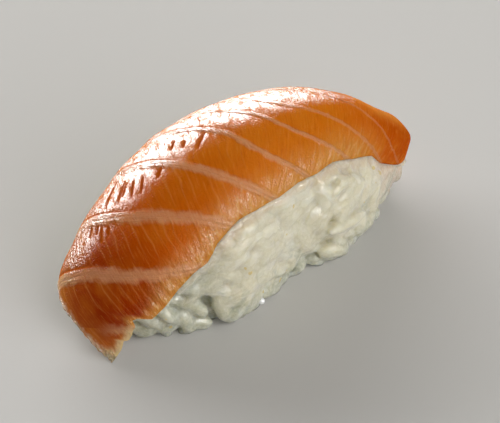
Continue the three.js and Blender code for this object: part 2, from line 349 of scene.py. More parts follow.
def fat_lines_at(s, v, per_s, per_v):
    """Signed distance from each fat line, with the line's own half width, in millimetres, one row a line."""
    distances, half_widths = [], []
    for line in FAT_LINES:
        across = (v + 1) / 2
        place = along(line["crossings"], across)
        slope = (along(line["crossings"], across + 0.01) - place) / 0.02
        lean = np.sqrt(1 + (slope * per_s / per_v) ** 2)
        distances.append((s - place) * per_s / lean)
        narrowing = 1 - 0.2 * np.abs(v + 0.2)
        half_widths.append(line["width"] / 2 * narrowing + 0 * s)
    return np.array(distances), np.array(half_widths)


def flake_place(s, v):
    """How many fat lines lie before a point, and the share of the flake that the point is in."""
    lines = np.array([along(line["crossings"], (v + 1) / 2) for line in FAT_LINES])
    before = (lines <= s).sum(0)
    last = len(lines) - 1
    start = np.take_along_axis(lines, np.clip(before - 1, 0, last)[None], 0)[0]
    end = np.take_along_axis(lines, np.clip(before, 0, last)[None], 0)[0]
    width = np.where((before > 0) & (before <= last), end - start, 0.1)
    share = np.where(before > 0, (s - start) / width, 1 - (end - s) / width)
    return before, np.clip(share, 0, 1)


def split_depth(s, v, per_s, per_v):
    """1 along the middle of an open split, 0 away from it."""
    deepest = np.zeros_like(s)
    for s0, v0, s1, v1 in SPLITS:
        along_mm, across_mm = (s1 - s0) * per_s, (v1 - v0) * per_v
        length = np.hypot(along_mm, across_mm)
        from_start_s, from_start_v = (s - s0) * per_s, (v - v0) * per_v
        run = (from_start_s * along_mm + from_start_v * across_mm) / length
        aside = (from_start_s * across_mm - from_start_v * along_mm) / length
        share = run / length
        taper = np.sqrt(np.clip(4 * share * (1 - share), 0, 1))
        groove = np.exp(-((aside / (SPLIT_WIDTH / 2)) ** 2)) * taper
        deepest = np.maximum(deepest, groove)
    return deepest


def slab(cells_along, cells_across):
    """A flat slab of cells from -1 to 1 each way, whose upper side is at 0 and lower side at -1."""
    bm = bmesh.new()
    bmesh.ops.create_grid(bm, x_segments=cells_along, y_segments=cells_across, size=1)
    copied = bmesh.ops.duplicate(bm, geom=bm.verts[:] + bm.edges[:] + bm.faces[:])["geom"]
    under_verts = [part for part in copied if isinstance(part, bmesh.types.BMVert)]
    under_faces = [part for part in copied if isinstance(part, bmesh.types.BMFace)]
    bmesh.ops.translate(bm, verts=under_verts, vec=(0, 0, -1))
    bmesh.ops.reverse_faces(bm, faces=under_faces)
    bmesh.ops.bridge_loops(bm, edges=[edge for edge in bm.edges if edge.is_boundary])
    bmesh.ops.recalc_face_normals(bm, faces=bm.faces[:])
    return mesh_from(bm, "salmon")


def crowd_to_ends(share, amount):
    """Cells packed more closely towards both ends, where the rim is rounded."""
    return share - amount * np.sin(2 * math.pi * share) / (2 * math.pi)


def slice_places(flat):
    """Where each point of the flat slab goes on the draped skin, and what lies near it there."""
    at = SimpleNamespace()
    at.upper = flat[:, 2] > -0.5
    at.u = crowd_to_ends((flat[:, 0] + 1) / 2, 0.4)
    at.across = 2 * crowd_to_ends((flat[:, 1] + 1) / 2, 0.5) - 1
    at.s = length_share(at.u, at.across)
    _, per_s, per_v = skin_frame(at.s, at.across)
    at.reach = edge_reach(at.s, at.across) - corner_trim((1 - at.u) * per_s, FAR_CORNER) / per_v
    at.v = at.across * at.reach
    at.outward, at.per_s, at.per_v = skin_frame(at.s, at.v)

    at.from_edge = (1 - np.abs(at.across)) * at.per_v
    at.from_near_edge = np.clip((at.v + at.reach) * at.per_v, 0, 50)
    at.from_near_end = at.u * at.per_s
    at.from_end = np.minimum(at.u, 1 - at.u) * at.per_s
    at.from_border = np.minimum(at.from_edge, at.from_end)

    distances, half_widths = fat_lines_at(at.s, at.v, at.per_s, at.per_v)
    at.line = np.argmin(np.abs(distances), 0)
    at.fat_distance = np.take_along_axis(distances, at.line[None], 0)[0]
    at.fat_half_width = np.take_along_axis(half_widths, at.line[None], 0)[0]
    at.flake, at.flake_share = flake_place(at.s, at.v)
    # Across the leaning fibres and along them, both counting about one for each millimetre.
    at.fibre_across = 81 * at.s - 7.3 * at.v + 1.4 * (1 - ease(0, 0.16, at.s)) * at.v
    at.fibre_along = 41.5 * at.s + 14.2 * at.v

    at.on_top = ease(-0.3, 0.15, at.v)
    past_line = at.fat_distance - at.fat_half_width - 0.1
    crease = np.exp(-((past_line / np.where(past_line < 0, 0.15, 0.22)) ** 2)) * (at.flake > 1)
    at.crease = crease * ease(0.7, 0.55, at.s)
    at.splits = split_depth(at.s, at.v, at.per_s, at.per_v)
    return at


def flesh_relief(at):
    """Height above the draped skin: each flake is crowned, and overlaps the next like a roof tile."""
    leaning = at.flake_share**0.66  # the crown is highest at about a third of the flake
    crown = FLAKE_CROWN * (0.4 + 0.5 * at.on_top) * (4 * leaning * (1 - leaning) - 0.5)
    inland = ease(0, 1.5, at.from_edge) * ease(0, 1.5, at.from_end)
    ridge = FAT_RIDGE * np.exp(-((at.fat_distance / at.fat_half_width) ** 2))
    crease_depth = CREASE_DEPTH * at.on_top * at.crease
    fibres = FIBRE_RELIEF * waves(3, at.fibre_across * 1.6, at.fibre_along * 0.12 + at.flake * 9)
    near_band = ease(-0.35, -0.8, at.v) * ease(0.1, 0.2, at.s)
    folds = waves(5, at.fibre_across * 2.4, at.fibre_along * 0.5, octaves=(1.0, 1.7))
    wrinkles = WRINKLE_RELIEF * near_band * folds
    undulation = UNDULATION * waves(7, at.s * 11, at.v * 2.3)
    return crown + inland * (
        ridge - crease_depth - SPLIT_DEPTH * at.splits + fibres + wrinkles + undulation
    )


def draped_points(at, relief):
    """Points of both skins, which turn towards each other in a half round at the border."""
    thickness = thickness_at(at.s, at.v)
    radius = 0.5 * np.clip(thickness, 0.5, 2.4)
    inset = np.clip(1 - at.from_border / radius, 0, 1)
    turn = radius * (1 - np.sqrt(np.clip(1 - inset**2, 0, 1)))
    middle_depth = thickness / 2
    upper_depth = np.minimum(turn - relief, middle_depth - THINNEST / 2)
    under_depth = np.maximum(thickness - turn, middle_depth + THINNEST / 2)
    depth = np.where(at.upper, upper_depth, under_depth)
    points = skin(at.s, at.v) - at.outward * depth[:, None]
    points[:, 2] = np.maximum(points[:, 2], np.where(at.upper, UPPER_FOOT, UNDER_FOOT))
    return points


def wetness(at):
    """Where the wet film lies: along the crown, in a faint band by the near edge, and on the cut end."""
    side = 0.03 + 0.14 * ease(6, 1.5, at.from_near_edge) * ease(0.2, 0.8, at.from_near_edge) * (at.v < 0)
    side = side * (1 - 0.9 * ease(0.75, 0.9, at.s))
    crown_start = 0.07 - 0.15 * ease(0.16, 0.36, at.s) - 0.2 * ease(0.36, 0.6, at.s)
    crown = ease(0, 0.33, at.v - crown_start) * ease(0.1, 0.19, at.s) * (1 - 0.9 * ease(0.78, 0.9, at.s))
    crown = crown * (0.6 + 0.4 * np.maximum(ease(0.3, 0.42, at.s), ease(0.35, 0.6, at.v)))
    cut_end = ease(1.6, 0.4, at.from_near_end)
    return np.maximum(side, np.maximum(crown, cut_end))


def flesh_attributes(at):
    """What the salmon's finish reads at each point."""
    fading = np.where(at.line == 0, ease(-0.3, -0.85, at.v), 1.0)
    line_strength = np.array([line["strength"] for line in FAT_LINES])[at.line]
    from_near_corner = np.hypot(at.from_near_end, 0.7 * (1 + at.across) * at.per_v)
    crust_noise = waves(11, at.fibre_across * 1.3, at.fibre_along * 1.1)
    return {
        "place": np.stack([at.s, at.v, at.flake_share], -1),
        "fibre": np.stack([at.fibre_across, at.fibre_along, at.flake.astype(float)], -1),
        "fat": np.abs(at.fat_distance) / at.fat_half_width,
        "fat_side": at.fat_distance / at.fat_half_width,
        "fat_strength": fading * line_strength,
        "tip": ease(4.2, 0.8, from_near_corner),
        "opening": np.maximum(at.splits, 0.6 * at.crease * at.on_top),
        "wetness": wetness(at),
        "crown": ease(-0.05, 0.1, at.v) * ease(0.2, 0.5, at.flake_share) * ease(0.12, 0.2, at.s),
        "near_edge": at.from_near_edge,
        "near_end": at.from_near_end + 0.25 * crust_noise,
    }


def make_salmon(finish):
    mesh = slab(CELLS_ALONG, CELLS_ACROSS)
    at = slice_places(positions_of(mesh))
    set_positions(mesh, draped_points(at, flesh_relief(at)))
    add_attributes(mesh, flesh_attributes(at))
    mesh = thinned(mesh, ~at.upper & (at.from_border > 1), UNDERSIDE_SHARE)
    return piece_from(mesh, "salmon", finish, "raw_salmon", "salmon_slice")


# ---------- The rice ----------


def slice_rim(side):
    """The slice's near (-1) or far (1) edge, as points in order along the block."""
    s = np.linspace(-0.02, 1.04, 240)
    points = skin(s, side * edge_reach(s, np.full_like(s, side)))
    return points[np.argsort(points[:, 0])]


SLICE_RIMS = {side: slice_rim(side) for side in (-1, 1)}


def block_wall(angle, height):
    """Points of the block's side at these heights, in these directions round it."""
    levels = BLOCK_LEVELS["height"]
    half_length = np.interp(height, levels, BLOCK_LEVELS["half_length"])
    half_width = np.interp(height, levels, BLOCK_LEVELS["half_width"])
    power = 2 / BLOCK_SQUARENESS
    x = half_length * np.sign(np.cos(angle)) * np.abs(np.cos(angle)) ** power
    y = half_width * np.sign(np.sin(angle)) * np.abs(np.sin(angle)) ** power
    bulge = np.zeros_like(x)
    for middle, side, out, reach in BLOCK_LUMPS:
        bulge = bulge + np.where(side * y > 0, side * out * np.exp(-(((x - middle) / reach) ** 2)), 0)
    y = y + bulge
    for side, rim in SLICE_RIMS.items():
        below = np.maximum(np.interp(x, rim[:, 0], rim[:, 2]) - height, 0)
        limit = side * np.interp(x, rim[:, 0], rim[:, 1]) + RIM_STEP + RIM_SLOPE * below
        softer = -np.log(np.exp(-2 * side * y) + np.exp(-2 * limit)) / 2
        y = np.where(side * y > 1, side * softer, y)
    return np.stack([x, y, height + 0 * x], -1)


def wall_frame(angle, height):
    """A point of the wall, the direction along it, and the direction out of it."""
    place = Vector(block_wall(np.array(angle), np.array(height)))
    ahead = Vector(block_wall(np.array(angle + 0.01), np.array(height)))
    back = Vector(block_wall(np.array(angle - 0.01), np.array(height)))
    tangent = (ahead - back).normalized()
    return place, tangent, Vector((tangent.y, -tangent.x, 0))


def even_angles(height, pitch, first_share):
    """Directions round the block at even spacing along its side, starting at a share of a step."""
    angles = np.linspace(0, 2 * math.pi, 1441)
    wall = block_wall(angles, np.full_like(angles, height))
    lengths = np.concatenate([[0], np.cumsum(np.linalg.norm(np.diff(wall, axis=0), axis=1))])
    count = round(lengths[-1] / pitch)
    return np.interp((np.arange(count) + first_share) * lengths[-1] / count, lengths, angles)


def slice_cover():
    """A search tree over the slice's outer skin, with its direction, thickness and closeness to the edge."""
    u, v = np.meshgrid(np.linspace(0, 1, 320), np.linspace(-1, 1, 170), indexing="ij")
    u, v = u.ravel(), v.ravel()
    s = length_share(u, v)
    reach = edge_reach(s, v)
    outward, per_s, per_v = skin_frame(s, v * reach)
    places = skin(s, v * reach)
    to_edge = np.minimum((1 - np.abs(v)) * per_v, np.minimum(u, 1 - u) * per_s)
    at_side = ease(0.02, 0.1, u) * ease(1, 0.95, u)
    tree = kdtree.KDTree(len(places))
    for index, place in enumerate(places):
        tree.insert(place, index)
    tree.balance()
    return tree, places, outward, thickness_at(s, v * reach), to_edge, at_side


def against_slice(points, cover):
    """The closest sample of the slice's skin, the height above it, and how far beside it each point lies."""
    tree, places, outward = cover[:3]
    index = np.array([tree.find(point)[1] for point in points])
    offset = points - places[index]
    height = np.einsum("ij,ij->i", offset, outward[index])
    return index, height, np.linalg.norm(offset - outward[index] * height[:, None], axis=1)


def fitted_to_slice(points, cover, gap):
    """Points kept just below the slice, with the rice under and round its edge drawn up to it."""
    _, _, outward, thickness, to_edge, at_side = cover
    index, height, aside = against_slice(points, cover)
    inside = ease(0, 0.6, to_edge[index])
    allowed = -(thickness[index] + gap) * inside - FLUSH_DEPTH * (1 - inside)
    under = aside < 0.2
    low = allowed - height
    closing = under & (low > 0) & (low < LIFTED_FROM)
    lift = np.where(closing, low * ease(3, 1.5, to_edge[index]) * ease(LIFTED_FROM, 1.2, low), 0)
    beyond = ~under & (height < -FLUSH_DEPTH) & (height > -FLUSH_FROM)
    to_flush = (-FLUSH_DEPTH - height) * ease(2.2, 0.2, aside) * ease(-FLUSH_FROM, -1.4, height)
    lift = np.where(beyond, to_flush * at_side[index], lift)
    bulge_limit = 0.05 + aside * (0.45 + 0.16 * aside)
    bulging = ~under & (height > bulge_limit) & (aside < 4)
    lift = np.where(bulging, (bulge_limit - height) * at_side[index], lift)
    too_high = under & (height > allowed)
    lift = np.where(too_high, low, lift)
    return points + outward[index] * lift[:, None], under & (height > allowed - 0.5)


def plain_block():
    """The pressed block without its grains: a tube of rings with both ends closed."""
    bm = bmesh.new()
    bmesh.ops.create_cone(bm, cap_ends=True, segments=120, radius1=1, radius2=1, depth=2)
    upright = [edge for edge in bm.edges if abs(edge.verts[0].co.z - edge.verts[1].co.z) > 1]
    bmesh.ops.subdivide_edges(bm, edges=upright, cuts=14, use_grid_fill=True)
    mesh = mesh_from(bm, "block")
    flat = positions_of(mesh)
    height = (flat[:, 2] + 1) / 2 * BLOCK_LEVELS["height"][-1]
    set_positions(mesh, block_wall(np.arctan2(flat[:, 1], flat[:, 0]), height))
    return mesh


def grain_shape():
    """One cooked grain, 1 long, 1 wide and 1 high: plump, with blunt ends."""
    bm = bmesh.new()
    bmesh.ops.create_icosphere(bm, subdivisions=3, radius=0.5)
    mesh = mesh_from(bm, "grain")
    points = positions_of(mesh)
    fuller = 1 + 0.12 * np.sin(math.pi * np.clip(np.abs(points[:, 0]) * 2, 0, 1))
    points[:, 1:] *= fuller[:, None]
    set_positions(mesh, points)
    return mesh


def near_angle(place_along, height):
    """The direction round the block at which the near side is at this place along."""
    angles = np.linspace(math.pi, 2 * math.pi, 721)
    wall = block_wall(angles, np.full_like(angles, height))
    return float(np.interp(place_along, wall[:, 0], angles))


def grain_matrix(place, tangent, outward, slope, tip, length, width, height):
    upward = outward.cross(tangent)
    axes = Matrix((tangent, upward, outward)).transposed().to_4x4()
    turned = axes @ Matrix.Rotation(slope, 4, "Z") @ Matrix.Rotation(tip, 4, "Y")
    return Matrix.Translation(place) @ turned @ Matrix.Diagonal((length, width, height, 1))


def placed_grains():
    """Every grain's place, as matrices for the plain grain: the listed ones, then the rest."""
    draw = random.Random(SEED)
    matrices = []
    taken = []
    for x, height, length, width, slope, proud in NEAR_GRAINS:
        place, tangent, outward = wall_frame(near_angle(x, height), height)
        place = place + outward * (proud - NEAR_SINK)
        slope = math.radians(slope)
        matrices.append(grain_matrix(place, tangent, outward, slope, 0, length, width, width * 0.8))
        taken.append(place)
    gaps = [wall_frame(near_angle(x, height), height)[0] for x, height, _, _ in NEAR_GAPS]
    for row in range(GRAIN_ROWS):
        level = FIRST_ROW + ROW_STEP * row
        for angle in even_angles(level, GRAIN_PITCH, (row % 2) / 2):
            height = level + draw.uniform(-0.6, 0.6)
            place, tangent, outward = wall_frame(angle, height)
            place = place + tangent * draw.uniform(-0.9, 0.9) - outward * draw.uniform(-0.1, 0.6)
            size = draw.uniform(0.82, 1.12)
            matrix = grain_matrix(
                place,
                tangent,
                outward,
                draw.gauss(-0.15, 0.6),
                draw.uniform(-0.2, 0.2),
                GRAIN_LENGTH * size,
                GRAIN_WIDTH * draw.uniform(0.88, 1.15),
                GRAIN_HEIGHT * size,
            )
            crowded = any((place - other).length < NEAR_SPACING for other in taken)
            in_gap = any((place - gap).length < GAP_SPACING for gap in gaps)
            if not crowded and not in_gap:
                matrices.append(matrix)
    return matrices


def remeshed(mesh):
    """The mesh's outer surface, made again as one closed skin of even cells."""
    holder = bpy.data.objects.new("holder", mesh)
    bpy.context.scene.collection.objects.link(holder)
    modifier = holder.modifiers.new("skin", "REMESH")
    modifier.mode = "VOXEL"
    modifier.voxel_size = VOXEL
    modifier.adaptivity = 0
    made = bpy.data.meshes.new_from_object(holder.evaluated_get(bpy.context.evaluated_depsgraph_get()))
    bpy.data.objects.remove(holder)
    return made


def smoothed(points, edges, rounds, weight):
    """Each point drawn towards the middle of its neighbours, as many times as rounds."""
    first, second = edges[:, 0], edges[:, 1]
    count = np.bincount(edges.ravel(), minlength=len(points))[:, None]
    for _ in range(rounds):
        total = np.stack(
            [
                np.bincount(first, points[second, axis], len(points))
                + np.bincount(second, points[first, axis], len(points))
                for axis in range(points.shape[1])
            ],
            -1,
        )
        points = points + weight * (total / count - points)
    return points


def edges_of(mesh):
    flat = np.empty(len(mesh.edges) * 2, np.int32)
    mesh.edges.foreach_get("vertices", flat)
    return flat.reshape(-1, 2)


def normals_of(mesh):
    flat = np.empty(len(mesh.vertices) * 3, np.float32)
    mesh.vertices.foreach_get("normal", flat)
    return flat.reshape(-1, 3).astype(float)


def grain_borders(points, grain_marks):
    """Which grain each point belongs to, and 1 where it is as close to another grain, 0 well inside one."""
    owner = np.empty(len(points), int)
    seam = np.empty(len(points))
    for row, point in enumerate(points):
        near = grain_marks.find_n(point, 6)
        owner[row] = near[0][1]
        others = [distance for _, index, distance in near if index != owner[row]]
        seam[row] = min(others, default=9) - near[0][2]
    return owner, ease(SEAM_WIDTH, 0, seam)


def mashed_share(points):
    """1 where the hand pressed the grains into one smooth mass, 0 where they stay whole."""
    near = ease(-23, -19, points[:, 0])
    far = 0.9 * ease(28, 20, np.abs(points[:, 0]))
    return ease(3, 6.5, points[:, 2]) * np.where(points[:, 1] < 0, near, far)


def heaped(mesh, matrices):
    """The mesh with a grain at each of these places, every grain still a shell of its own."""
    heap = bmesh.new()
    heap.from_mesh(mesh)
    grain = grain_shape()
    for matrix in matrices:
        placed = grain.copy()
        placed.transform(matrix)
        heap.from_mesh(placed)
        bpy.data.meshes.remove(placed)
    return mesh_from(heap, "heap")


def closing_at(points):
    """How far the skin is pushed out and drawn back in, which fills cracks narrower than twice that."""
    return (CLOSING * (0.3 + 0.7 * mashed_share(points)))[:, None]


def pressed_core(cover):
    """The block inside the wall that its grains make, below the slice, and opened at the gaps."""
    mesh = plain_block()
    points = positions_of(mesh)
    from_axis = np.linalg.norm(points[:, :2], axis=1, keepdims=True)
    points[:, :2] *= 1 - CORE_DEPTH / np.maximum(from_axis, 2 * CORE_DEPTH)
    points, _ = fitted_to_slice(points, cover, CORE_GAP)
    for x, height, half_width, depth in NEAR_GAPS:
        place, _, outward = wall_frame(near_angle(x, height), height)
        away = np.linalg.norm(points - np.array(place), axis=1)
        points -= np.array(outward) * (depth * np.exp(-((away / half_width) ** 2)))[:, None]
    set_positions(mesh, points)
    return mesh


def mashed_heap(core, matrices):
    """One skin over the core and all its grains, smoothed where the hand mashed them together."""
    mesh = remeshed(heaped(core, matrices))
    edges = edges_of(mesh)
    points = smoothed(positions_of(mesh), edges, 1, 0.5)
    bare = smoothed(points, edges, MASHING_ROUNDS, 0.6)
    mashed = (1 - MASHED_RELIEF) * mashed_share(points)
    set_positions(mesh, points + mashed[:, None] * (bare - points))
    return mesh


def rice_skin(heap, whole_grains, cover):
    """One skin over the heap and the grains that stay whole, with starch in its cracks, under the slice."""
    mesh = heaped(heap, whole_grains)
    points = positions_of(mesh)
    set_positions(mesh, points + closing_at(points) * normals_of(mesh))
    mesh = remeshed(mesh)
    edges = edges_of(mesh)
    points = positions_of(mesh)
    points = smoothed(points - closing_at(points) * normals_of(mesh), edges, 1, 0.4)
    for _ in range(2):
        points, covered = fitted_to_slice(points, cover, CLEARANCE)
        soft = np.where(covered, 0, 0.15 + 0.35 * mashed_share(points))
        points = points + soft[:, None] * (smoothed(points, edges, 1, 1.0) - points)
    points[:, 2] = np.where(points[:, 2] < FOOT_SNAP, 0.0, points[:, 2])
    set_positions(mesh, points)
    return thinned(mesh, covered | (points[:, 2] < 0.1), HIDDEN_SHARE)


def grain_marks(matrices):
    """A search tree with three points along every grain."""
    marks = kdtree.KDTree(3 * len(matrices))
    for index, matrix in enumerate(matrices):
        for share in (-0.32, 0, 0.32):
            marks.insert(matrix @ Vector((share, 0, 0)), index)
    marks.balance()
    return marks


def rice_attributes(mesh, matrices, cover):
    """What the rice's finish reads at each point."""
    points, edges = positions_of(mesh), edges_of(mesh)
    bare = smoothed(points, edges, HOLLOW_ROUNDS, 0.6)
    _, height, aside = against_slice(points, cover)
    owner, seam = grain_borders(points, grain_marks(matrices))
    draw = random.Random(SEED + 1)
    tints = np.array([draw.uniform(0, 1) for _ in matrices])
    tint = smoothed(tints[owner][:, None], edges, 4, 0.5)[:, 0]
    back_to_grain = np.array([matrix.inverted() for matrix in matrices])[owner]
    sizes = np.array([matrix.to_scale() for matrix in matrices])[owner]
    in_grain = np.einsum("nij,nj->ni", back_to_grain[:, :3, :3], points) + back_to_grain[:, :3, 3]
    own_stretch = 7.3 * owner[:, None]  # no two grains read the same stretch of the pattern
    return {
        "hollow": np.einsum("ij,ij->i", bare - points, normals_of(mesh)),
        "grain_tint": tint,
        "grain_place": in_grain * sizes + own_stretch,
        "seam": seam,
        "stained": ease(2.4, 0.3, aside) * ease(-2, -0.5, height),
        "whole": 1 - mashed_share(points),
    }


def make_rice(finish):
    cover = slice_cover()
    matrices = placed_grains()
    heap = mashed_heap(pressed_core(cover), matrices)
    whole_grains = [matrix for matrix, grain in zip(matrices, NEAR_GRAINS) if grain[-1] >= WHOLE_FROM]
    mesh = rice_skin(heap, whole_grains, cover)
    mesh.name = "rice"
    add_attributes(mesh, rice_attributes(mesh, matrices, cover))
    return piece_from(mesh, "rice", finish, "cooked_rice", "rice_block")


def make_droplet(finish):
    """One bead of water against the rice, flattened where it stands on the table."""
    bm = bmesh.new()
    bmesh.ops.create_icosphere(bm, subdivisions=4, radius=DROPLET_RADIUS)
    bmesh.ops.translate(bm, verts=bm.verts[:], vec=DROPLET_PLACE)
    mesh = mesh_from(bm, "droplet")
    points = positions_of(mesh)
    points[:, 2] = np.maximum(points[:, 2], DROPLET_FOOT)
    set_positions(mesh, points)
    return piece_from(mesh, "droplet", finish, "cooked_rice")


# ---------- Finishes ----------


class Finish:
    """A material while it is being put together."""

    def __init__(self, name):
        self.material = bpy.data.materials.new(name)
        self.material.use_nodes = True
        self.tree = self.material.node_tree
        self.shader = self.tree.nodes["Principled BSDF"]

    def feed(self, socket, value):
        if isinstance(value, bpy.types.NodeSocket):
            self.tree.links.new(value, socket)
        else:
            socket.default_value = value

    def node(self, kind, settings, inputs, output=0):
        made = self.tree.nodes.new(kind)
        for key, value in settings.items():
            setattr(made, key, value)
        for key, value in inputs.items():
            self.feed(made.inputs[key], value)
        return made.outputs[output]

    def attribute(self, name, output="Fac"):
        return self.node("ShaderNodeAttribute", {"attribute_name": name}, {}, output)

    def parts(self, vector):
        made = self.tree.nodes.new("ShaderNodeSeparateXYZ")
        self.feed(made.inputs[0], vector)
        return made.outputs

    def vector(self, x, y, z=0.0):
        return self.node("ShaderNodeCombineXYZ", {}, {0: x, 1: y, 2: z})

    def sum(self, operation, first, second=0.0, third=0.0):
        return self.node("ShaderNodeMath", {"operation": operation}, {0: first, 1: second, 2: third})

    def scale(self, value, by):
        return self.sum("MULTIPLY", value, by)

    def between(self, value, low, high, to_low=0.0, to_high=1.0):
        inputs = {"Value": value, "From Min": low, "From Max": high, "To Min": to_low, "To Max": to_high}
        return self.node("ShaderNodeMapRange", {"interpolation_type": "SMOOTHSTEP"}, inputs)

    def noise(self, vector, scale, detail=2.0, roughness=0.5):
        inputs = {"Vector": vector, "Scale": scale, "Detail": detail, "Roughness": roughness}
        return self.node("ShaderNodeTexNoise", {}, inputs)

    def mix(self, factor, first, second):
        """The first colour, painted over with the second as strongly as the factor says."""
        return self.node("ShaderNodeMix", {"data_type": "RGBA"}, {0: factor, 6: first, 7: second}, 2)

    def ramp(self, value, stops):
        made = self.tree.nodes.new("ShaderNodeValToRGB")
        ramp = made.color_ramp
        while len(ramp.elements) < len(stops):
            ramp.elements.new(0.5)
        for element, (position, colour) in zip(ramp.elements, stops):
            element.position = position
            element.color = colour
        self.feed(made.inputs[0], value)
        return made.outputs[0]

    def relief(self, *layers, over=None):
        """The way the surface faces once each layer, a height and its depth in metres, lies on it."""
        facing = over
        for height, distance in layers:
            inputs = {"Height": height, "Distance": distance, "Strength": 1.0}
            if facing is not None:
                inputs["Normal"] = facing
            facing = self.node("ShaderNodeBump", {}, inputs)
        return facing

    def set(self, **values):
        for key, value in values.items():
            self.feed(self.shader.inputs[key.replace("_", " ")], value)


def paint(red, green, blue):
    """A colour given as it looks on screen, 0 to 255, made linear."""
    shares = [part / 255 for part in (red, green, blue)]
    linear = [share / 12.92 if share < 0.0404 else ((share + 0.055) / 1.055) ** 2.4 for share in shares]
    return (*linear, 1.0)


FLESH_ALONG = (
    (0.0, paint(186, 96, 36)),
    (0.04, paint(150, 47, 2)),
    (0.14, paint(158, 52, 1)),
    (0.24, paint(197, 87, 4)),
    (0.42, paint(203, 102, 8)),
    (0.6, paint(208, 110, 16)),
    (0.82, paint(209, 112, 16)),
    (0.93, paint(200, 92, 7)),
    (1.0, paint(178, 68, 2)),
)


class SalmonFinish(Finish):
    """Wet raw salmon: translucent orange flesh in fine fibres, fat lines, golden thin edges."""

    def __init__(self):
        super().__init__("raw_salmon_flesh")
        self.s, self.v, self.flake_share = self.parts(self.attribute("place", "Vector"))
        self.fibre_across, self.fibre_along, self.flake = self.parts(self.attribute("fibre", "Vector"))
        self.near_edge = self.attribute("near_edge")
        self.near_end = self.attribute("near_end")
        self.drift = self.fibre_noise(0.2, 0.16, 1.0)
        self.hair = self.fibre_noise(2.6, 0.26, 4.0, 0.65)
        self.wrinkle = self.fibre_noise(1.1, 0.3, 4.0, 0.65)
        self.streak = self.streaks()
        self.thin_edge = self.thinning_edge()
        self.fat = self.frayed_fat()
        self.opening = self.openings()
        # The pale crust on the cut end, partly painted highlight: brightest where its wrinkles stand
        # highest.
        crust_and_glint_patches = self.between(self.wrinkle, 0.4, 0.56, 0.2, 1.0)
        self.crust_and_rim_glints = self.scale(self.between(self.near_end, 0.4, 1.9, 1.0, 0.0), crust_and_glint_patches)

    def fibre_noise(self, across, along, detail, roughness=0.5):
        """Noise drawn out along the fibres, and different in each flake."""
        crosswise = self.scale(self.fibre_across, across)
        lengthwise = self.scale(self.fibre_along, along)
        return self.noise(self.vector(crosswise, lengthwise, self.flake), 1.0, detail, roughness)

    def row_borders(self, row, randomness):
        """Distance along a row from the nearest border between its uneven cells."""
        settings = {"voronoi_dimensions": "1D", "feature": "DISTANCE_TO_EDGE"}
        inputs = {"W": row, "Scale": 1.0, "Randomness": randomness}
        return self.node("ShaderNodeTexVoronoi", settings, inputs)

    def streaks(self):
        """Pale streaks between fibres, widest and strongest where a flake meets its fat line."""
        row = self.sum("MULTIPLY_ADD", self.drift, 1.2, self.scale(self.fibre_across, 0.58))
        row = self.sum("MULTIPLY_ADD", self.flake, 7.31, row)
        width = self.between(self.flake_share, 0.0, 1.0, 0.07, 0.2)
        aside = self.sum("MINIMUM", self.sum("DIVIDE", self.row_borders(row, 0.85), width), 1.0)
        strength_inputs = {"W": row, "Scale": 0.9, "Detail": 0.0}
        strong = self.node("ShaderNodeTexNoise", {"noise_dimensions": "1D"}, strength_inputs)
        streak = self.scale(self.sum("SUBTRACT", 1.0, aside), self.between(self.flake_share, 0.0, 0.7))
        return self.scale(streak, self.between(strong, 0.3, 0.6))

    def thinning_edge(self):
        """1 at the near edge, where the slice thins out, 0 a few millimetres in and at the far end."""
        width = self.between(self.s, 0.12, 0.28, 2.6, 7.5)
        at_edge = self.between(self.sum("DIVIDE", self.near_edge, width), 0.0, 1.0, 1.0, 0.0)
        return self.scale(at_edge, self.between(self.s, 0.8, 0.95, 1.0, 0.1))

    def frayed_fat(self):
        """How much fat shows: most along the middle of a line, fading out over a frayed border."""
        fraying = self.between(self.fibre_noise(0.5, 0.5, 2.0), 0.25, 0.75, -0.3, 0.3)
        aside = self.sum("ADD", self.attribute("fat"), fraying)
        aside = self.sum("ADD", aside, self.between(self.hair, 0.3, 0.7, 0.1, -0.1))
        return self.scale(self.between(aside, 0.4, 1.5, 1.0, 0.0), self.attribute("fat_strength"))

    def openings(self):
        """The creases and splits, with finer slits between fibres on the crown."""
        row = self.sum("MULTIPLY_ADD", self.drift, 0.9, self.scale(self.fibre_across, 0.8))
        slit = self.between(self.row_borders(row, 0.9), 0.03, 0.1, 1.0, 0.0)
        slit = self.scale(slit, self.between(self.fibre_noise(0.5, 0.3, 1.0), 0.53, 0.6))
        slit = self.scale(slit, self.attribute("crown"))
        return self.sum("MAXIMUM", self.attribute("opening"), self.scale(slit, 0.8))

    def plain_flesh(self):
        flesh = self.ramp(self.between(self.s, -0.02, 1.04), FLESH_ALONG)
        mottle = self.between(self.fibre_noise(0.22, 0.14, 3.0), 0.4, 0.75, 0.0, 0.3)
        flesh = self.mix(mottle, flesh, paint(220, 128, 34))
        # Painted sheen: the flesh is paler towards the crown and far side. Painted highlight: paler again
        # where light falls on the middle of the far end.
        flesh = self.mix(self.between(self.v, -0.1, 0.5, 0.0, 0.42), flesh, paint(212, 136, 54))
        lit_end = self.scale(self.between(self.s, 0.8, 0.92), self.between(self.v, -0.5, -0.05, 0.0, 0.6))
        flesh = self.mix(lit_end, flesh, paint(232, 142, 52))
        return self.mix(self.between(self.near_end, 0.4, 2.4, 0.4, 0.0), flesh, paint(210, 142, 76))

    def with_fibres(self, flesh):
        streak = self.scale(self.streak, self.between(self.s, 0.35, 0.6, 0.32, 0.1))
        flesh = self.mix(streak, flesh, paint(226, 152, 84))
        flesh = self.mix(self.between(self.hair, 0.5, 0.8, 0.0, 0.45), flesh, paint(224, 142, 64))
        return self.mix(self.between(self.hair, 0.5, 0.25, 0.0, 0.4), flesh, paint(168, 62, 2))

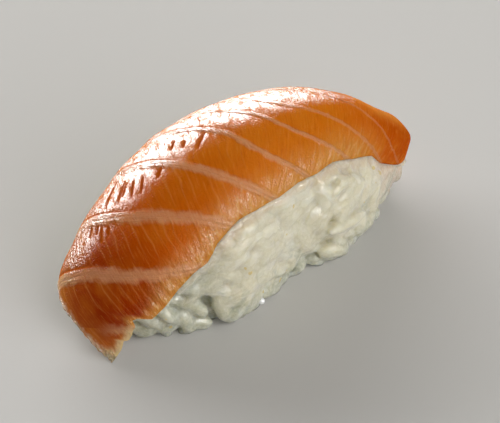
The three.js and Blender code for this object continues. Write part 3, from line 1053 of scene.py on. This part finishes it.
    def with_golden_edge(self, flesh):
        """Golden, glassy flesh along the thin edge, with painted highlights on the crests of its folds and
        painted shade in the troughs between them.
        """
        flesh = self.mix(self.scale(self.thin_edge, 0.85), flesh, paint(206, 140, 62))
        # Painted highlight: paler on the fold crests, where the wrinkles stand highest.
        fold_crest_painted_highlight = self.scale(self.thin_edge, self.between(self.wrinkle, 0.5, 0.66, 0.0, 0.7))
        fold_crest_painted_highlight = self.scale(fold_crest_painted_highlight, self.between(self.s, 0.4, 0.6, 1.0, 0.6))
        flesh = self.mix(fold_crest_painted_highlight, flesh, paint(232, 184, 122))
        # Painted shade: deeper orange in the fold troughs, where the wrinkles lie lowest.
        fold_trough_painted_shade = self.scale(self.thin_edge, self.between(self.wrinkle, 0.46, 0.34, 0.0, 0.5))
        return self.mix(fold_trough_painted_shade, flesh, paint(186, 100, 22))

    def with_fat(self, flesh):
        fat = self.scale(self.fat, self.between(self.hair, 0.3, 0.7, 0.6, 0.8))
        flesh = self.mix(fat, flesh, paint(216, 154, 110))
        near_band = self.scale(self.fat, self.between(self.s, 0.13, 0.15, 0.45, 0.0))
        return self.mix(near_band, flesh, paint(204, 172, 130))

    def with_openings_and_rim(self, flesh):
        """Painted shade: darker, deeper orange inside creases and splits; and a pale dried rim at the near
        end, whose crust is partly painted highlight along the cut edge.
        """
        # Painted shade: creases and splits are darkened to a deeper orange.
        flesh = self.mix(self.between(self.opening, 0.1, 0.55, 0.0, 0.9), flesh, paint(190, 86, 10))
        near_tip = self.between(self.s, 0.09, 0.125, 1.0, 0.0)
        pale_rim = self.scale(self.between(self.near_edge, 0.4, 1.9, 0.85, 0.0), near_tip)
        pale_tip = self.between(self.attribute("tip"), 0.2, 0.9, 0.0, 0.85)
        flesh = self.mix(self.sum("MAXIMUM", pale_rim, pale_tip), flesh, paint(212, 188, 142))
        # Pale crust on the cut end, partly painted highlight of glints along the rim.
        return self.mix(self.crust_and_rim_glints, flesh, paint(242, 208, 166))

    def flesh_facing(self):
        """The fine relief: fibres, strands in the fat, crust, streaks, folds and a speckled wet film."""
        strand_place = self.vector(self.scale(self.attribute("fat_side"), 1.7), self.scale(self.v, 2.5))
        strands = self.noise(strand_place, 1.0, 1.0)
        object_place = self.node("ShaderNodeTexCoord", {}, {}, "Object")
        speckle = self.scale(self.noise(object_place, 3300, 1.0), self.between(self.v, 0.1, 0.5, 1.0, 1.5))
        return self.relief(
            (self.fibre_noise(2.6, 0.9, 2.0), 0.00007),
            (self.scale(strands, self.fat), 0.0003),
            (self.scale(self.wrinkle, self.crust_and_rim_glints), 0.0009),
            (self.streak, 0.00003),
            (self.scale(self.wrinkle, self.thin_edge), 0.0003),
            (speckle, 0.0001),
        )

    def wet_film(self):
        patches = self.between(self.fibre_noise(0.9, 0.45, 4.0, 0.75), 0.4, 0.54, 0.2, 1.0)
        wet = self.scale(self.attribute("wetness"), patches)
        return self.scale(wet, self.between(self.opening, 0.1, 0.5, 1.0, 0.03))


def salmon_finish():
    fin = SalmonFinish()
    flesh = fin.with_golden_edge(fin.with_fibres(fin.plain_flesh()))
    flesh = fin.with_openings_and_rim(fin.with_fat(flesh))
    facing = fin.flesh_facing()
    fin.set(
        Base_Color=flesh,
        Roughness=0.5,
        Specular_IOR_Level=0.0,
        Subsurface_Weight=0.22,
        Subsurface_Radius=(1.0, 0.32, 0.08),
        Subsurface_Scale=0.003,
        Coat_Weight=fin.wet_film(),
        Coat_Roughness=0.18,
        Coat_IOR=2.2,
        Normal=facing,
        Coat_Normal=facing,
    )
    return fin.material


def rice_finish():
    """Sticky cooked rice: warm white, glassy at the surface, with painted shade: yellower and darker deep
    between grains, along their borders, at the foot and towards both ends.
    """
    fin = Finish("cooked_rice_grains")
    object_place = fin.node("ShaderNodeTexCoord", {}, {}, "Object")
    along_block, _, above_table = fin.parts(object_place)
    tint = fin.attribute("grain_tint")
    whole = fin.attribute("whole")
    cloud = fin.noise(object_place, 330, 5.0, 0.65)
    fine = fin.noise(object_place, 1900, 3.0, 0.7)
    starch = fin.mix(fin.between(cloud, 0.3, 0.66), paint(212, 205, 179), paint(220, 213, 188))
    glassy = fin.scale(fin.between(tint, 0.3, 0.55), fin.between(whole, 0.0, 1.0, 0.06, 0.45))
    starch = fin.mix(glassy, starch, paint(180, 182, 162))
    # Darker yellow along the borders between grains: partly the glassy starch there, partly painted shade in
    # the grooves.
    seam = fin.scale(fin.attribute("seam"), fin.between(whole, 0.0, 1.0, 0.1, 0.4))
    starch = fin.mix(seam, starch, paint(196, 190, 148))
    starch = fin.mix(fin.between(tint, 0.62, 0.8, 0.0, 0.4), starch, paint(234, 230, 212))
    # Painted shade: yellow-olive and darker in hollows, more strongly the deeper they lie below the smoothed
    # surface.
    starch = fin.mix(fin.between(fin.attribute("hollow"), 0.2, 0.62, 0.0, 0.95), starch, paint(172, 160, 88))
    # Pinkish grey towards the far end, partly painted shade: darker there than the rest of the block.
    starch = fin.mix(fin.between(along_block, 0.019, 0.027, 0.0, 0.8), starch, paint(192, 164, 144))
    starch = fin.mix(fin.scale(fin.attribute("stained"), 0.5), starch, paint(222, 186, 152))
    # Painted shade: greyer and darker near the table, fading out within a few millimetres.
    starch = fin.mix(fin.between(above_table, 0.001, 0.006, 0.6, 0.0), starch, paint(158, 163, 146))
    # Painted shade: greyer and darker towards the block's -X end.
    starch = fin.mix(fin.between(along_block, -0.013, -0.02, 0.0, 0.5), starch, paint(158, 162, 144))
    glassy_patch = fin.between(fin.noise(object_place, 260, 2.0, 0.5), 0.5, 0.6)
    glassy_patch = fin.scale(glassy_patch, fin.between(above_table, 0.005, 0.011, 0.5, 0.0))
    starch = fin.mix(glassy_patch, starch, paint(164, 170, 150))
    grain_place = fin.parts(fin.attribute("grain_place", "Vector"))
    along_grain = fin.vector(fin.scale(grain_place[0], 0.35), grain_place[1], grain_place[2])
    streak = fin.noise(along_grain, 1.5, 2.0, 0.6)
    starch = fin.mix(fin.between(streak, 0.45, 0.7, 0.0, 0.3), starch, paint(240, 237, 222))
    starch = fin.mix(fin.between(fine, 0.35, 0.65, 0.0, 0.25), starch, paint(238, 233, 216))
    speck_noise = fin.noise(object_place, 640, 0.0)
    starch = fin.mix(fin.between(speck_noise, 0.82, 0.84, 0.0, 0.6), starch, paint(214, 186, 96))

    pits = fin.noise(object_place, 1500, 2.0, 0.5)
    facing = fin.relief((streak, 0.0001), (pits, 0.00006))
    film_facing = fin.relief((fin.noise(object_place, 1300, 3.0, 0.75), 0.00022), over=facing)
    fin.set(
        Base_Color=starch,
        Roughness=fin.between(cloud, 0.3, 0.7, 0.3, 0.45),
        Specular_IOR_Level=0.0,
        Subsurface_Weight=1.0,
        Subsurface_Radius=(1.0, 0.88, 0.6),
        Subsurface_Scale=0.003,
        Coat_Weight=fin.between(whole, 0.0, 1.0, 0.5, 0.7),
        Coat_Roughness=0.1,
        Coat_IOR=1.6,
        Normal=facing,
        Coat_Normal=film_facing,
    )
    return fin.material


def water_finish():
    # Painted highlight: the bead is white and mostly opaque, standing in for the bright glint it shows.
    fin = Finish("water_painted_highlight")
    fin.set(
        Base_Color=(1, 1, 1, 1),
        Roughness=0.04,
        IOR=1.33,
        Transmission_Weight=0.15,
        Coat_Weight=1.0,
        Coat_Roughness=0.03,
    )
    return fin.material


def floor_finish():
    """A plain pale matt table."""
    fin = Finish("pale_table")
    fin.set(Base_Color=(0.62, 0.61, 0.59, 1), Roughness=0.8, Specular_IOR_Level=0.0)
    return fin.material


# ---------- Camera, light and floor ----------

LOOK_AT = Vector((-0.43, -2.79, 9.79)) * MM
AZIMUTH = math.radians(-41.085)
ELEVATION = math.radians(40)
CAMERA_DISTANCE = 0.5
LENS = 213.7
SKY_COLOUR = (1, 0.95, 0.82, 1)
SKY_STRENGTH = 0.13
TABLE_REACH = 2
# Soft lamps: azimuth, elevation, distance in metres, width along the horizon, height, power, and whether the
# lamp is only mirrored in wet skins.
LAMPS = {
    "back_window": (164, 12, 1.0, 2.1, 0.4, 29, True),
    "back_high": (177, 41, 1.0, 0.4, 0.3, 6, True),
    "left_high": (-152, 34, 1.0, 0.3, 0.24, 2.5, True),
    "side_high": (127, 32, 1.0, 0.2, 0.2, 1.6, True),
    "back_fill": (168, 18, 1.0, 1.6, 0.5, 18, False),
    "front_fill": (6, 34, 0.8, 1.0, 0.8, 5.7, False),
    "low_window": (14, 16, 0.6, 0.2, 0.12, 3.6, True),
}


def direction(azimuth, elevation):
    """Unit vector from the object towards a camera or lamp at these angles; azimuth 0 is the near side."""
    flat = math.cos(elevation)
    return Vector((math.sin(azimuth) * flat, -math.cos(azimuth) * flat, math.sin(elevation)))


def aimed(obj, towards, distance):
    """Puts a camera or lamp at a distance from the object and turns it to look at it."""
    obj.location = LOOK_AT + towards * distance
    obj.rotation_mode = "QUATERNION"
    obj.rotation_quaternion = towards.to_track_quat("Z", "Y")
    bpy.context.scene.collection.objects.link(obj)
    return obj


def make_camera():
    lens = bpy.data.cameras.new("camera")
    lens.sensor_width = 36
    lens.sensor_fit = "HORIZONTAL"
    lens.lens = LENS
    lens.clip_start = 0.01
    camera = aimed(bpy.data.objects.new("camera", lens), direction(AZIMUTH, ELEVATION), CAMERA_DISTANCE)
    bpy.context.scene.camera = camera


def make_lamp(name, azimuth, elevation, distance, width, height, power, mirrored_only):
    lamp = bpy.data.lights.new(name, "AREA")
    lamp.shape = "RECTANGLE"
    lamp.size = width
    lamp.size_y = height
    lamp.energy = power
    towards = direction(math.radians(azimuth), math.radians(elevation))
    obj = aimed(bpy.data.objects.new(name, lamp), towards, distance)
    obj.visible_diffuse = not mirrored_only


def make_studio():
    scene = bpy.context.scene
    scene.view_settings.view_transform = "Standard"
    world = bpy.data.worlds.new("studio")
    world.use_nodes = True
    sky = world.node_tree.nodes["Background"]
    sky.inputs["Color"].default_value = SKY_COLOUR
    sky.inputs["Strength"].default_value = SKY_STRENGTH
    scene.world = world
    for name, lamp in LAMPS.items():
        make_lamp(name, *lamp)
    bm = bmesh.new()
    bmesh.ops.create_grid(bm, x_segments=1, y_segments=1, size=TABLE_REACH)
    mesh = mesh_from(bm, "table_top")
    mesh.materials.append(floor_finish())
    floor = bpy.data.objects.new("table_top", mesh)
    scene.collection.objects.link(floor)


make_camera()
make_studio()
make_salmon(salmon_finish())
make_rice(rice_finish())
make_droplet(water_finish())
